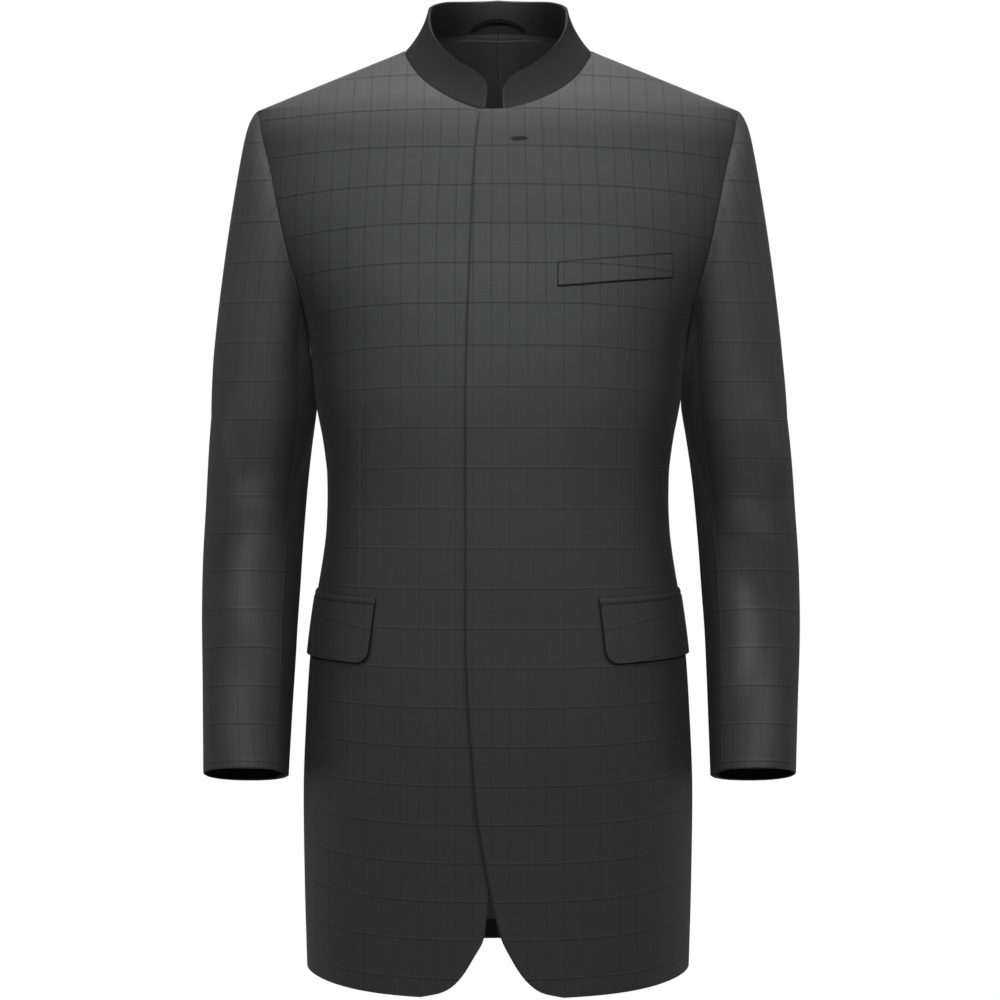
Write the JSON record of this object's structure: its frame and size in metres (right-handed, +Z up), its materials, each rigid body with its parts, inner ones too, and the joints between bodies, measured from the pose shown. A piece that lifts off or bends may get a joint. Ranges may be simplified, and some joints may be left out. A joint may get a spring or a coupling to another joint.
{
  "type": "mandarin collar blazer",
  "caption": "Long hollow worn-form blazer with a standing mandarin collar, concealed front closing, chest welt, flap pockets, shaped sleeves and rounded quarters.",
  "frame": {"origin": "midway between the two points where the shoulder seams meet the collar", "axes": "+Z up along the body, +X towards the wearer's left, -Y towards the front"},
  "size_m": [0.5723, 0.2858, 0.9365],
  "materials": {
    "check_wool": "napped wool",
    "plain_wool": "napped wool",
    "lining": "satin"
  },
  "bodies": {
    "root": {"front_left": "check_wool", "front_right": "check_wool", "back_left": "check_wool", "back_right": "check_wool", "sleeve_top_left": "check_wool", "sleeve_top_right": "check_wool", "sleeve_under_left": "check_wool", "sleeve_under_right": "check_wool", "chest_welt": "check_wool", "pocket_jet_left": "check_wool", "pocket_jet_right": "check_wool", "pocket_flap_left": "check_wool", "pocket_flap_right": "check_wool", "collar": "plain_wool", "hanger_loop": "plain_wool", "lining_back": "lining"}
  },
  "joints": []
}
